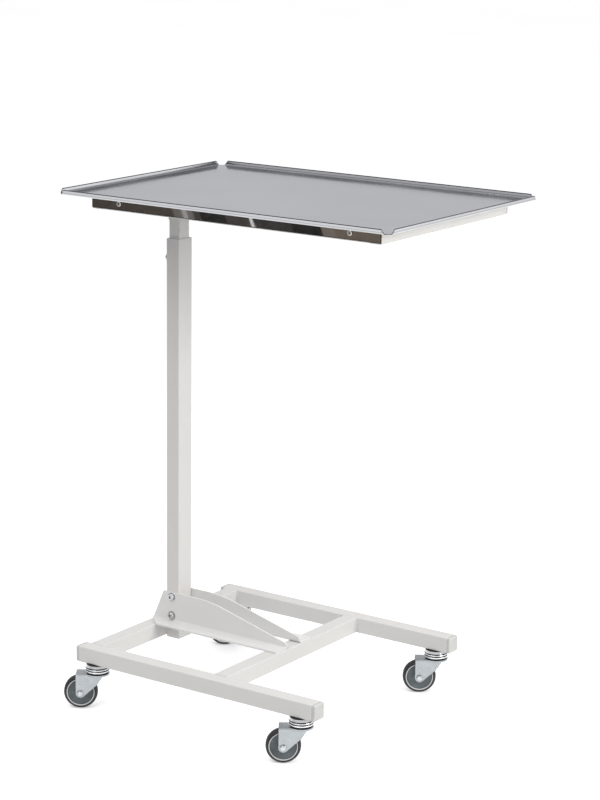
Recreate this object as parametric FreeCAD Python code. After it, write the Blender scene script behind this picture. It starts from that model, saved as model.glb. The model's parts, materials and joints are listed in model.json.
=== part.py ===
import FreeCAD, Part
import math
import os

# Overbed table. Working frame: X along the base rails, Y across them, Z up,
# floor at Z = 0. Everything is moved at the end so that the origin is the
# bottom centre of the whole object. All sizes are in millimetres.

# Base rails, square tube
RAIL_SIZE = 30.0
RAIL_WALL = 1.5
RAIL_CORNER = 2.0
RAIL_LENGTH = 523.0
RAIL_BOTTOM = 87.0
BASE_WIDTH = 480.0
RAIL_TOP = RAIL_BOTTOM + RAIL_SIZE
RAIL_Y = (BASE_WIDTH - RAIL_SIZE) / 2.0
RAIL_HALF = RAIL_LENGTH / 2.0

# Plastic end caps in the rails
CAP_HEAD = 9.0
CAP_PLUG = 14.0
CAP_CLEARANCE = 0.15
CAP_WALL = 2.0

# Cross tubes between the rails
POST_CROSS_X = -243.0
MID_CROSS_X = 44.0

# Outer post, rectangular tube standing against the rear cross tube
POST_X = -213.0
POST_DEPTH = 30.0
POST_WIDTH = 40.0
POST_WALL = 1.5
POST_CORNER = 2.0
POST_TOP = 861.0
CLAMP_Z = 822.0

# Folded sheet gussets on both sides of the post
GUSSET_SHEET = 3.0
GUSSET_FOOT_Y = 56.0
GUSSET_FOOT_X = -258.0
GUSSET_TOP_X = -233.0
GUSSET_TOP_Z = 176.0
GUSSET_BREAK_X = -126.0
GUSSET_TIP_X = 56.0
GUSSET_TIP_Z = 128.5
GUSSET_BEND = 3.0

# Bolts through gussets and post
BOLT_RADIUS = 4.0
BOLT_HOLE = 4.3
BOLT_HEAD_RADIUS = 7.0
BOLT_HEAD_HEIGHT = 4.4
BOLT_HEIGHTS = (130.0, 167.0)
WASHER_RADIUS = 8.0
WASHER_THICK = 1.6
NUT_AF = 13.0
NUT_HEIGHT = 6.5

# Guide sleeve inside the mouth of the outer post
SLEEVE_LENGTH = 70.0
SLEEVE_INSET = 0.5
SLIDE_GAP = 0.06

# Clamp screw on the back of the outer post
BOSS_RADIUS = 9.0
BOSS_LENGTH = 8.0
CLAMP_RADIUS = 4.0
CLAMP_HEAD_RADIUS = 8.0
CLAMP_HEAD_HEIGHT = 4.5
CLAMP_GAP = 0.3

# Inner post
INNER_DEPTH = 25.0
INNER_WIDTH = 30.0
INNER_WALL = 1.5
INNER_CORNER = 2.0
INNER_BOTTOM = 262.0
GLIDE_LENGTH = 30.0
GLIDE_GAP = 0.3
SOCKET_WALL = 1.5
SOCKET_BOTTOM = 896.0

# Frame under the tray, square tube
FRAME_SIZE = 25.0
FRAME_WALL = 1.5
FRAME_CORNER = 1.5
FRAME_X0 = -250.5
FRAME_X1 = 367.5
FRAME_HALF_Y = 205.5
FRAME_BOTTOM = 938.5
FRAME_TOP = FRAME_BOTTOM + FRAME_SIZE
CARRIER_X = -168.0
MID_BAR_X = 100.0
HEAD_PLATE_THICK = 4.0
HEAD_PLATE_HALF_Y = 55.0
PLATE_BOLT_RADIUS = 3.0
PLATE_BOLT_Y = 42.0

# Tray, folded sheet
TRAY_X0 = -300.5
TRAY_X1 = 409.5
TRAY_HALF_Y = 247.5
TRAY_SHEET = 1.2
TRAY_LIP = 8.0
TRAY_BEND = 2.0
TRAY_CORNER = 8.0
LIP_FOOT = 10.0
LIP_SLOPE = 7.0
LIP_LEAN = 8.0

# Decorative strips on the long sides of the frame
STRIP_THICK = 1.5
STRIP_HEIGHT = 23.0
STRIP_SCREW_IN = 62.0
SCREW_HEAD_RADIUS = 4.5
SCREW_HEAD_HEIGHT = 2.2
SCREW_RADIUS = 2.0
SCREW_LENGTH = 12.0

# Casters
WHEEL_RADIUS = 31.75
TYRE_WIDTH = 20.0
TYRE_INNER = 26.0
HUB_HALF = 12.2
HUB_CORE = 9.0
RIM_LIP = 1.6
GUARD_THICK = 1.4
TRAIL = 31.0
YAW = 34.7
SWIVEL_IN = 30.0
AXLE_RADIUS = 4.0
AXLE_GAP = 0.05
FORK_SHEET = 2.5
FORK_INNER = 14.0
CROWN_BOTTOM = 65.5
CROWN_TOP = 68.5
CROWN_RADIUS = 22.5
STEM_RADIUS = 6.0
STEM_GAP = 0.05
STEM_THREAD = 5.0
RACE_TOP = 79.6
CUP_BOTTOM = 80.0
CUP_RADIUS = 22.8

UP = FreeCAD.Vector(0, 0, 1)


def vec(x, y, z):
    return FreeCAD.Vector(x, y, z)


def box(x0, x1, y0, y1, z0, z1):
    return Part.makeBox(x1 - x0, y1 - y0, z1 - z0, vec(x0, y0, z0))


def rod(radius, length, start, direction):
    return Part.makeCylinder(radius, length, start, direction)


def bar(length, width, height, radius):
    """Solid bar along +X from the origin, centred on Y and Z, with round edges."""
    solid = box(0, length, -width / 2.0, width / 2.0, -height / 2.0, height / 2.0)
    edges = [e for e in solid.Edges if abs(e.tangentAt(e.FirstParameter).x) > 0.99]
    return solid.makeFillet(radius, edges)


def tube(length, width, height, wall, radius):
    """Rectangular tube along +X from the origin, centred on Y and Z."""
    outer = bar(length, width, height, radius)
    hollow = bar(length + 2.0, width - 2.0 * wall, height - 2.0 * wall, radius * 0.5)
    hollow.translate(vec(-1.0, 0, 0))
    return outer.cut(hollow)


def placed_x(shape, x, y, z):
    """Move a shape made along X to its place."""
    moved = shape.copy()
    moved.translate(vec(x, y, z))
    return moved


def placed_y(shape, x, y, z):
    """Turn a shape made along X so that it runs along Y, then move it."""
    moved = shape.copy()
    moved.rotate(vec(0, 0, 0), UP, 90.0)
    moved.translate(vec(x, y, z))
    return moved


def placed_z(shape, x, y, z):
    """Turn a shape made along X so that it runs up along Z, then move it."""
    moved = shape.copy()
    moved.rotate(vec(0, 0, 0), vec(0, 1, 0), -90.0)
    moved.translate(vec(x, y, z))
    return moved


def hexagon(across_flats, height):
    """Hexagonal prism along +Z from the origin."""
    radius = across_flats / math.sqrt(3.0)
    points = []
    for i in range(7):
        angle = math.radians(60.0 * i)
        points.append(vec(radius * math.cos(angle), radius * math.sin(angle), 0))
    return Part.Face(Part.makePolygon(points)).extrude(vec(0, 0, height))


def aimed(shape, place, direction):
    """Turn a shape made along +Z so that it points along direction, then move it."""
    moved = shape.copy()
    turn = FreeCAD.Rotation(UP, direction)
    moved.Placement = FreeCAD.Placement(place, turn).multiply(moved.Placement)
    return moved


def top_edges(solid, z):
    """Circular edges of a shape made along Z that lie at the height z."""
    found = []
    for edge in solid.Edges:
        ends = edge.BoundBox
        if abs(ends.ZMin - z) < 1e-4 and abs(ends.ZMax - z) < 1e-4:
            found.append(edge)
    return found


def button_screw(head_radius, head_height, shank_radius, length, socket):
    """Screw along +Z: the head lies above Z = 0 and the shank below it."""
    head = Part.makeCylinder(head_radius, head_height)
    rim = [e for e in top_edges(head, head_height) if e.Length > head_radius]
    head = head.makeFillet(head_height * 0.55, rim)
    recess = hexagon(socket, head_height)
    recess.translate(vec(0, 0, head_height * 0.45))
    shank = Part.makeCylinder(shank_radius, length, vec(0, 0, -length))
    return head.cut(recess).fuse(shank).removeSplitter()


# ---- base ----

def caster_sites():
    """Names and swivel centres of the four casters."""
    reach = RAIL_HALF - SWIVEL_IN
    return (
        ("near_left", -reach, -RAIL_Y),
        ("near_right", reach, -RAIL_Y),
        ("far_left", -reach, RAIL_Y),
        ("far_right", reach, RAIL_Y),
    )


def side_rail(y):
    rail = tube(RAIL_LENGTH, RAIL_SIZE, RAIL_SIZE, RAIL_WALL, RAIL_CORNER)
    rail = placed_x(rail, -RAIL_HALF, y, RAIL_BOTTOM + RAIL_SIZE / 2.0)
    for x in (-RAIL_HALF + SWIVEL_IN, RAIL_HALF - SWIVEL_IN):
        hole = rod(STEM_THREAD + 0.25, 4.0, vec(x, y, RAIL_BOTTOM - 1.0), UP)
        rail = rail.cut(hole)
    return rail


def cross_tube(x):
    length = BASE_WIDTH - 2.0 * RAIL_SIZE
    piece = tube(length, RAIL_SIZE, RAIL_SIZE, RAIL_WALL, RAIL_CORNER)
    return placed_y(piece, x, -length / 2.0, RAIL_BOTTOM + RAIL_SIZE / 2.0)


def end_cap():
    """Cap for a tube end: the head starts at X = 0 and points along +X."""
    head = bar(CAP_HEAD, RAIL_SIZE, RAIL_SIZE, 3.0)
    face = [e for e in head.Edges if e.BoundBox.XMin > CAP_HEAD - 1e-4]
    head = head.makeFillet(2.4, face)
    side = RAIL_SIZE - 2.0 * RAIL_WALL - 2.0 * CAP_CLEARANCE
    plug = bar(CAP_PLUG, side, side, 1.2)
    hollow = bar(CAP_PLUG, side - 2.0 * CAP_WALL, side - 2.0 * CAP_WALL, 0.8)
    plug = plug.cut(hollow)
    plug.translate(vec(-CAP_PLUG, 0, 0))
    return head.fuse(plug).removeSplitter()


def end_caps():
    z = RAIL_BOTTOM + RAIL_SIZE / 2.0
    caps = []
    for y in (-RAIL_Y, RAIL_Y):
        caps.append(placed_x(end_cap(), RAIL_HALF, y, z))
        turned = end_cap()
        turned.rotate(vec(0, 0, 0), UP, 180.0)
        caps.append(placed_x(turned, -RAIL_HALF, y, z))
    return Part.makeCompound(caps)


def web_outline():
    """Side view of a gusset as a face in the XZ plane, with a soft upper break."""
    foot = vec(GUSSET_FOOT_X, 0, RAIL_TOP)
    top = vec(GUSSET_TOP_X, 0, GUSSET_TOP_Z)
    ahead = vec(GUSSET_BREAK_X - 38.0, 0, GUSSET_TOP_Z)
    slope = (GUSSET_TIP_Z - GUSSET_TOP_Z) / (GUSSET_TIP_X - GUSSET_BREAK_X)
    after = vec(GUSSET_BREAK_X + 38.0, 0, GUSSET_TOP_Z + 38.0 * slope)
    tip = vec(GUSSET_TIP_X - 3.0, 0, GUSSET_TIP_Z)
    tip_low = vec(GUSSET_TIP_X, 0, GUSSET_TIP_Z - 3.0)
    end = vec(GUSSET_TIP_X, 0, RAIL_TOP)
    bend = Part.BezierCurve()
    bend.setPoles([ahead, vec(GUSSET_BREAK_X, 0, GUSSET_TOP_Z), after])
    edges = [
        Part.makeLine(foot, top),
        Part.makeLine(top, ahead),
        bend.toShape(),
        Part.makeLine(after, tip),
        Part.makeLine(tip, tip_low),
        Part.makeLine(tip_low, end),
        Part.makeLine(end, foot),
    ]
    return Part.Face(Part.Wire(edges))


def fold_profile(x):
    """Cross-section of a gusset at x: upright web and outward foot with a bend."""
    y0 = POST_WIDTH / 2.0
    y1 = y0 + GUSSET_SHEET
    z0 = RAIL_TOP
    z1 = z0 + GUSSET_SHEET
    outer = GUSSET_BEND + GUSSET_SHEET
    c = math.sqrt(0.5)
    bend_y = y0 + outer
    bend_z = z0 + outer
    low = vec(x, bend_y - outer * c, bend_z - outer * c)
    high = vec(x, bend_y - GUSSET_BEND * c, bend_z - GUSSET_BEND * c)
    edges = [
        Part.makeLine(vec(x, y0, GUSSET_TOP_Z + 5.0), vec(x, y0, bend_z)),
        Part.Arc(vec(x, y0, bend_z), low, vec(x, bend_y, z0)).toShape(),
        Part.makeLine(vec(x, bend_y, z0), vec(x, GUSSET_FOOT_Y, z0)),
        Part.makeLine(vec(x, GUSSET_FOOT_Y, z0), vec(x, GUSSET_FOOT_Y, z1)),
        Part.makeLine(vec(x, GUSSET_FOOT_Y, z1), vec(x, bend_y, z1)),
        Part.Arc(vec(x, bend_y, z1), high, vec(x, y1, bend_z)).toShape(),
        Part.makeLine(vec(x, y1, bend_z), vec(x, y1, GUSSET_TOP_Z + 5.0)),
        Part.makeLine(vec(x, y1, GUSSET_TOP_Z + 5.0), vec(x, y0, GUSSET_TOP_Z + 5.0)),
    ]
    return Part.Face(Part.Wire(edges))


def gusset_far():
    length = GUSSET_TIP_X - GUSSET_FOOT_X
    sheet = fold_profile(GUSSET_FOOT_X).extrude(vec(length, 0, 0))
    side = web_outline()
    side.translate(vec(0, POST_WIDTH / 2.0 - 1.0, 0))
    sheet = sheet.common(side.extrude(vec(0, GUSSET_FOOT_Y, 0)))
    start = POST_WIDTH / 2.0 + GUSSET_SHEET
    corner = [
        vec(GUSSET_FOOT_X - 1.0, start, 0),
        vec(GUSSET_FOOT_X + 34.0, GUSSET_FOOT_Y + 1.0, 0),
        vec(GUSSET_FOOT_X - 1.0, GUSSET_FOOT_Y + 1.0, 0),
        vec(GUSSET_FOOT_X - 1.0, start, 0),
    ]
    mitre = Part.Face(Part.makePolygon(corner)).extrude(vec(0, 0, GUSSET_TOP_Z + 10.0))
    sheet = sheet.cut(mitre)
    for z in BOLT_HEIGHTS:
        sheet = sheet.cut(rod(BOLT_HOLE, 80.0, vec(POST_X, 0, z), vec(0, 1, 0)))
    return sheet


def gusset_near():
    return gusset_far().mirror(vec(0, 0, 0), vec(0, 1, 0))


def post_bolts():
    face = POST_WIDTH / 2.0 + GUSSET_SHEET + WASHER_THICK
    length = 2.0 * face + NUT_HEIGHT + 2.5
    made = []
    for z in BOLT_HEIGHTS:
        screw = button_screw(BOLT_HEAD_RADIUS, BOLT_HEAD_HEIGHT, BOLT_RADIUS, length, 5.0)
        made.append(aimed(screw, vec(POST_X, -face, z), vec(0, -1, 0)))
    return Part.makeCompound(made)


def post_washers():
    face = POST_WIDTH / 2.0 + GUSSET_SHEET
    ring = Part.makeCylinder(WASHER_RADIUS, WASHER_THICK)
    ring = ring.cut(Part.makeCylinder(BOLT_HOLE, WASHER_THICK))
    made = []
    for z in BOLT_HEIGHTS:
        made.append(aimed(ring, vec(POST_X, -face, z), vec(0, -1, 0)))
        made.append(aimed(ring, vec(POST_X, face, z), vec(0, 1, 0)))
    return Part.makeCompound(made)


def post_nuts():
    face = POST_WIDTH / 2.0 + GUSSET_SHEET + WASHER_THICK
    nut = hexagon(NUT_AF, NUT_HEIGHT)
    nut = nut.common(Part.makeCone(NUT_AF / 2.0 + 3.0, NUT_AF / 2.0 + 0.4, NUT_HEIGHT))
    nut = nut.cut(Part.makeCylinder(BOLT_RADIUS, NUT_HEIGHT))
    made = [aimed(nut, vec(POST_X, face, z), vec(0, 1, 0)) for z in BOLT_HEIGHTS]
    return Part.makeCompound(made)


def outer_post():
    post = tube(POST_TOP - RAIL_BOTTOM, POST_WIDTH, POST_DEPTH, POST_WALL, POST_CORNER)
    post = placed_z(post, POST_X, 0, RAIL_BOTTOM)
    for z in BOLT_HEIGHTS:
        post = post.cut(rod(BOLT_HOLE, 80.0, vec(POST_X, -40.0, z), vec(0, 1, 0)))
    hole = rod(CLAMP_RADIUS + 0.3, 10.0, vec(POST_X - 20.0, 0, CLAMP_Z), vec(1, 0, 0))
    return post.cut(hole)


def post_plug():
    """Plastic plug that closes the foot of the outer post."""
    head = placed_z(bar(3.0, POST_WIDTH, POST_DEPTH, POST_CORNER), POST_X, 0, 0)
    head.translate(vec(0, 0, RAIL_BOTTOM - 3.0))
    width = POST_WIDTH - 2.0 * POST_WALL - 0.3
    depth = POST_DEPTH - 2.0 * POST_WALL - 0.3
    plug = bar(14.0, width, depth, 0.9)
    plug = plug.cut(bar(14.0, width - 4.0, depth - 4.0, 0.6))
    return head.fuse(placed_z(plug, POST_X, 0, RAIL_BOTTOM)).removeSplitter()


def guide_sleeve():
    """Lining in the mouth of the outer post, ending just below its rim."""
    width = POST_WIDTH - 2.0 * POST_WALL
    depth = POST_DEPTH - 2.0 * POST_WALL
    base = POST_TOP - SLEEVE_INSET - SLEEVE_LENGTH
    lining = placed_z(bar(SLEEVE_LENGTH, width, depth, 1.0), POST_X, 0, base)
    bore_width = INNER_WIDTH + 2.0 * SLIDE_GAP
    bore_depth = INNER_DEPTH + 2.0 * SLIDE_GAP
    bore = bar(SLEEVE_LENGTH + 10.0, bore_width, bore_depth, INNER_CORNER)
    bore = placed_z(bore, POST_X, 0, base - 5.0)
    hole = rod(CLAMP_RADIUS + 0.3, 10.0, vec(POST_X - 20.0, 0, CLAMP_Z), vec(1, 0, 0))
    return lining.cut(bore).cut(hole)


def clamp_boss():
    x = POST_X - POST_DEPTH / 2.0
    boss = Part.makeCylinder(BOSS_RADIUS, BOSS_LENGTH)
    boss = boss.makeChamfer(0.8, top_edges(boss, BOSS_LENGTH))
    boss = boss.cut(Part.makeCylinder(CLAMP_RADIUS + SLIDE_GAP, BOSS_LENGTH))
    return aimed(boss, vec(x, 0, CLAMP_Z), vec(-1, 0, 0))


def clamp_screw():
    """Screw whose tip stands just off the inner post."""
    head_x = POST_X - POST_DEPTH / 2.0 - BOSS_LENGTH - CLAMP_GAP
    tip_x = POST_X - INNER_DEPTH / 2.0 - CLAMP_GAP
    length = tip_x - head_x
    screw = button_screw(CLAMP_HEAD_RADIUS, CLAMP_HEAD_HEIGHT, CLAMP_RADIUS, length, 5.0)
    return aimed(screw, vec(head_x, 0, CLAMP_Z), vec(-1, 0, 0))


# ---- sliding top ----

def inner_post():
    length = FRAME_BOTTOM - HEAD_PLATE_THICK - INNER_BOTTOM
    post = tube(length, INNER_WIDTH, INNER_DEPTH, INNER_WALL, INNER_CORNER)
    return placed_z(post, POST_X, 0, INNER_BOTTOM)


def post_socket():
    """Short tube under the head plate that the top of the inner post is welded into."""
    width = INNER_WIDTH + 2.0 * SOCKET_WALL
    depth = INNER_DEPTH + 2.0 * SOCKET_WALL
    length = FRAME_BOTTOM - HEAD_PLATE_THICK - SOCKET_BOTTOM
    outer = bar(length, width, depth, INNER_CORNER + SOCKET_WALL)
    bore = bar(length + 2.0, INNER_WIDTH, INNER_DEPTH, INNER_CORNER)
    bore.translate(vec(-1.0, 0, 0))
    return placed_z(outer.cut(bore), POST_X, 0, SOCKET_BOTTOM)


def foot_glide():
    """Plastic foot on the inner post that runs on the walls of the outer post."""
    width = POST_WIDTH - 2.0 * POST_WALL - 2.0 * GLIDE_GAP
    depth = POST_DEPTH - 2.0 * POST_WALL - 2.0 * GLIDE_GAP
    body = bar(GLIDE_LENGTH, width, depth, 1.2)
    body = placed_z(body, POST_X, 0, INNER_BOTTOM - GLIDE_LENGTH)
    inside_w = INNER_WIDTH - 2.0 * INNER_WALL - 0.3
    inside_d = INNER_DEPTH - 2.0 * INNER_WALL - 0.3
    spigot = placed_z(bar(16.0, inside_w, inside_d, 0.8), POST_X, 0, INNER_BOTTOM)
    return body.fuse(spigot).removeSplitter()


def head_plate_x():
    """The X limits of the plate: it spans the end tube and the carrier bar."""
    return FRAME_X0 + 2.0, CARRIER_X + FRAME_SIZE / 2.0 - 1.0


def plate_bolt_sites():
    xs = (FRAME_X0 + FRAME_SIZE / 2.0, CARRIER_X)
    return [(x, y) for x in xs for y in (-PLATE_BOLT_Y, PLATE_BOLT_Y)]


def head_plate():
    x0, x1 = head_plate_x()
    z0 = FRAME_BOTTOM - HEAD_PLATE_THICK
    plate = box(x0, x1, -HEAD_PLATE_HALF_Y, HEAD_PLATE_HALF_Y, z0, FRAME_BOTTOM)
    edges = [e for e in plate.Edges if abs(e.tangentAt(e.FirstParameter).z) > 0.99]
    plate = plate.makeFillet(5.0, edges)
    for x, y in plate_bolt_sites():
        plate = plate.cut(rod(PLATE_BOLT_RADIUS + 0.3, 20.0, vec(x, y, z0 - 5.0), UP))
    return plate


def plate_bolts():
    z = FRAME_BOTTOM - HEAD_PLATE_THICK
    made = []
    for x, y in plate_bolt_sites():
        screw = button_screw(5.2, 3.3, PLATE_BOLT_RADIUS, 14.0, 4.0)
        made.append(aimed(screw, vec(x, y, z), vec(0, 0, -1)))
    return Part.makeCompound(made)


def plate_nuts():
    nut = hexagon(10.0, 5.0).cut(Part.makeCylinder(PLATE_BOLT_RADIUS, 5.0))
    z = FRAME_BOTTOM + FRAME_WALL
    return Part.makeCompound([aimed(nut, vec(x, y, z), UP) for x, y in plate_bolt_sites()])


def drilled(shape, sites):
    """Drill the lower wall of a frame tube where the plate bolts pass."""
    for x, y in sites:
        hole = rod(PLATE_BOLT_RADIUS + 0.3, 4.0, vec(x, y, FRAME_BOTTOM - 1.0), UP)
        shape = shape.cut(hole)
    return shape


def frame_end_tube(x):
    """Tube across the frame at the given centre line, full width."""
    piece = tube(2.0 * FRAME_HALF_Y, FRAME_SIZE, FRAME_SIZE, FRAME_WALL, FRAME_CORNER)
    piece = placed_y(piece, x, -FRAME_HALF_Y, FRAME_BOTTOM + FRAME_SIZE / 2.0)
    return piece


def frame_left_tube():
    x = FRAME_X0 + FRAME_SIZE / 2.0
    sites = [s for s in plate_bolt_sites() if abs(s[0] - x) < 1.0]
    return drilled(frame_end_tube(x), sites)


def frame_right_tube():
    return frame_end_tube(FRAME_X1 - FRAME_SIZE / 2.0)


def frame_side_tube(y):
    """Tube along the frame between the end tubes, drilled for the strip screws."""
    length = FRAME_X1 - FRAME_X0 - 2.0 * FRAME_SIZE
    piece = tube(length, FRAME_SIZE, FRAME_SIZE, FRAME_WALL, FRAME_CORNER)
    z = FRAME_BOTTOM + FRAME_SIZE / 2.0
    piece = placed_x(piece, FRAME_X0 + FRAME_SIZE, y, z)
    side = 1.0 if y > 0 else -1.0
    for x in strip_screw_places():
        start = vec(x, y + side * (FRAME_SIZE / 2.0 + 1.0), strip_z())
        piece = piece.cut(rod(SCREW_RADIUS, 4.0, start, vec(0, -side, 0)))
    return piece


def frame_bars():
    """Two bars across the frame: the carrier by the post and one mid way."""
    length = 2.0 * (FRAME_HALF_Y - FRAME_SIZE)
    made = []
    for x in (CARRIER_X, MID_BAR_X):
        piece = tube(length, FRAME_SIZE, FRAME_SIZE, FRAME_WALL, FRAME_CORNER)
        piece = placed_y(piece, x, -length / 2.0, FRAME_BOTTOM + FRAME_SIZE / 2.0)
        sites = [s for s in plate_bolt_sites() if abs(s[0] - x) < 1.0]
        made.append(drilled(piece, sites))
    return Part.makeCompound(made)


def lip(length):
    """Upturned edge along +X: bent foot, wall leaning out to Y = 0, sloped ends."""
    lean = math.radians(LIP_LEAN)
    c, s = math.cos(lean), math.sin(lean)
    middle = math.radians(225.0 + LIP_LEAN / 2.0)
    bend_y = lip_reach()
    outer = TRAY_BEND + TRAY_SHEET
    bend_z = FRAME_TOP + outer
    top = FRAME_TOP + TRAY_SHEET + TRAY_LIP

    def on_bend(radius, angle):
        return vec(0, bend_y + radius * math.cos(angle), bend_z + radius * math.sin(angle))

    def up_wall(foot):
        rise = top - foot.z
        return vec(0, foot.y - rise * s / c, top)

    outer_foot = on_bend(outer, math.pi + lean)
    inner_foot = on_bend(TRAY_BEND, math.pi + lean)
    low_outer = vec(0, bend_y, FRAME_TOP)
    low_inner = vec(0, bend_y, FRAME_TOP + TRAY_SHEET)
    edges = [
        Part.makeLine(up_wall(outer_foot), outer_foot),
        Part.Arc(outer_foot, on_bend(outer, middle), low_outer).toShape(),
        Part.makeLine(low_outer, low_inner),
        Part.Arc(low_inner, on_bend(TRAY_BEND, middle), inner_foot).toShape(),
        Part.makeLine(inner_foot, up_wall(inner_foot)),
        Part.makeLine(up_wall(inner_foot), up_wall(outer_foot)),
    ]
    wall = Part.Face(Part.Wire(edges)).extrude(vec(length, 0, 0))
    outline = [
        vec(LIP_FOOT, -1.0, FRAME_TOP),
        vec(length - LIP_FOOT, -1.0, FRAME_TOP),
        vec(length - LIP_FOOT - LIP_SLOPE, -1.0, top),
        vec(LIP_FOOT + LIP_SLOPE, -1.0, top),
        vec(LIP_FOOT, -1.0, FRAME_TOP),
    ]
    return wall.common(Part.Face(Part.makePolygon(outline)).extrude(vec(0, bend_y + 1.0, 0)))


def lip_reach():
    """Distance from the outermost line of a lip to where the flat floor begins."""
    lean = math.radians(LIP_LEAN)
    outer = TRAY_BEND + TRAY_SHEET
    rise = TRAY_SHEET + TRAY_LIP - outer + outer * math.sin(lean)
    return outer * math.cos(lean) + rise * math.tan(lean)


def tray():
    """Flat floor with cut corners, and a bent-up lip on each side."""
    width = 2.0 * TRAY_HALF_Y
    length = TRAY_X1 - TRAY_X0
    inset = lip_reach()
    half = TRAY_HALF_Y - inset
    floor = box(TRAY_X0 + inset, TRAY_X1 - inset, -half, half, FRAME_TOP, FRAME_TOP + TRAY_SHEET)
    corners = [e for e in floor.Edges if abs(e.tangentAt(e.FirstParameter).z) > 0.99]
    floor = floor.makeChamfer(TRAY_CORNER, corners)
    front = lip(length)
    front.translate(vec(TRAY_X0, -TRAY_HALF_Y, 0))
    back = front.mirror(vec(0, 0, 0), vec(0, 1, 0))
    right = lip(width)
    right.rotate(vec(0, 0, 0), UP, 90.0)
    right.translate(vec(TRAY_X1, -TRAY_HALF_Y, 0))
    middle = (TRAY_X0 + TRAY_X1) / 2.0
    left = right.mirror(vec(middle, 0, 0), vec(1, 0, 0))
    return floor.fuse([front, back, right, left]).removeSplitter()


def strip_z():
    return FRAME_TOP - STRIP_HEIGHT / 2.0


def strip_screw_places():
    return (FRAME_X0 + STRIP_SCREW_IN, FRAME_X1 - STRIP_SCREW_IN)


def strip(side):
    y0 = side * FRAME_HALF_Y
    y1 = side * (FRAME_HALF_Y + STRIP_THICK)
    z0 = FRAME_TOP - STRIP_HEIGHT
    piece = box(FRAME_X0, FRAME_X1, min(y0, y1), max(y0, y1), z0, FRAME_TOP)
    for x in strip_screw_places():
        start = vec(x, side * (FRAME_HALF_Y - 2.0), strip_z())
        piece = piece.cut(rod(SCREW_RADIUS, 8.0, start, vec(0, side, 0)))
    return piece


def strip_screws():
    made = []
    y = FRAME_HALF_Y + STRIP_THICK
    for side in (-1.0, 1.0):
        for x in strip_screw_places():
            screw = button_screw(SCREW_HEAD_RADIUS, SCREW_HEAD_HEIGHT, SCREW_RADIUS, SCREW_LENGTH, 2.5)
            made.append(aimed(screw, vec(x, side * y, strip_z()), vec(0, side, 0)))
    return Part.makeCompound(made)


# ---- casters, built round the swivel axis with the wheel trailing to -X ----

def stem():
    """Swivel bolt with the fixed upper cup, and the head that carries the fork."""
    head = rod(10.0, 4.0, vec(0, 0, CROWN_BOTTOM - 4.3), UP)
    journal = rod(STEM_RADIUS, RAIL_BOTTOM - CROWN_BOTTOM + 0.4, vec(0, 0, CROWN_BOTTOM - 0.4), UP)
    thread = rod(STEM_THREAD, 14.0, vec(0, 0, RAIL_BOTTOM - 0.5), UP)
    cup = Part.makeCone(CUP_RADIUS, CUP_RADIUS - 2.6, RAIL_BOTTOM - CUP_BOTTOM, vec(0, 0, CUP_BOTTOM))
    groove = Part.makeTorus(CUP_RADIUS + 0.2, 1.3, vec(0, 0, CUP_BOTTOM + 3.4))
    return head.fuse([journal, thread, cup.cut(groove)]).removeSplitter()


def stem_nut():
    nut = hexagon(17.0, 8.0).cut(Part.makeCylinder(STEM_THREAD, 8.0))
    nut.translate(vec(0, 0, RAIL_BOTTOM + RAIL_WALL))
    return nut


def race():
    """Lower ball race pressed onto the crown of the fork."""
    body = Part.makeCone(CROWN_RADIUS - 3.5, CROWN_RADIUS, 5.0, vec(0, 0, CROWN_TOP))
    body = body.fuse(rod(CROWN_RADIUS, RACE_TOP - CROWN_TOP - 5.0, vec(0, 0, CROWN_TOP + 5.0), UP))
    groove = Part.makeTorus(CROWN_RADIUS + 0.3, 1.4, vec(0, 0, CROWN_TOP + 7.6))
    body = body.cut(groove)
    return body.cut(rod(STEM_RADIUS + 1.0, 20.0, vec(0, 0, CROWN_TOP - 2.0), UP))


def leg_outline():
    """Side view of a fork leg as a face in the XZ plane."""
    round_radius = 8.6
    back_x = -TRAIL - round_radius
    knee = vec(0.0, 0, 48.5)
    brow = vec(11.0, 0, CROWN_BOTTOM)
    to_knee = math.hypot(knee.x + TRAIL, knee.z - WHEEL_RADIUS)
    lean = math.atan2(knee.z - WHEEL_RADIUS, knee.x + TRAIL)
    touch = lean - math.acos(round_radius / to_knee)
    low = vec(-TRAIL + round_radius * math.cos(touch), 0, WHEEL_RADIUS + round_radius * math.sin(touch))
    middle = (math.pi + touch + 2.0 * math.pi) / 2.0
    belly = vec(-TRAIL + round_radius * math.cos(middle), 0, WHEEL_RADIUS + round_radius * math.sin(middle))
    side = vec(back_x, 0, WHEEL_RADIUS)
    edges = [
        Part.makeLine(vec(back_x, 0, CROWN_TOP), side),
        Part.Arc(side, belly, low).toShape(),
        Part.makeLine(low, knee),
        Part.makeLine(knee, brow),
        Part.makeLine(brow, vec(13.0, 0, CROWN_TOP)),
        Part.makeLine(vec(13.0, 0, CROWN_TOP), vec(back_x, 0, CROWN_TOP)),
    ]
    return Part.Face(Part.Wire(edges))


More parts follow.
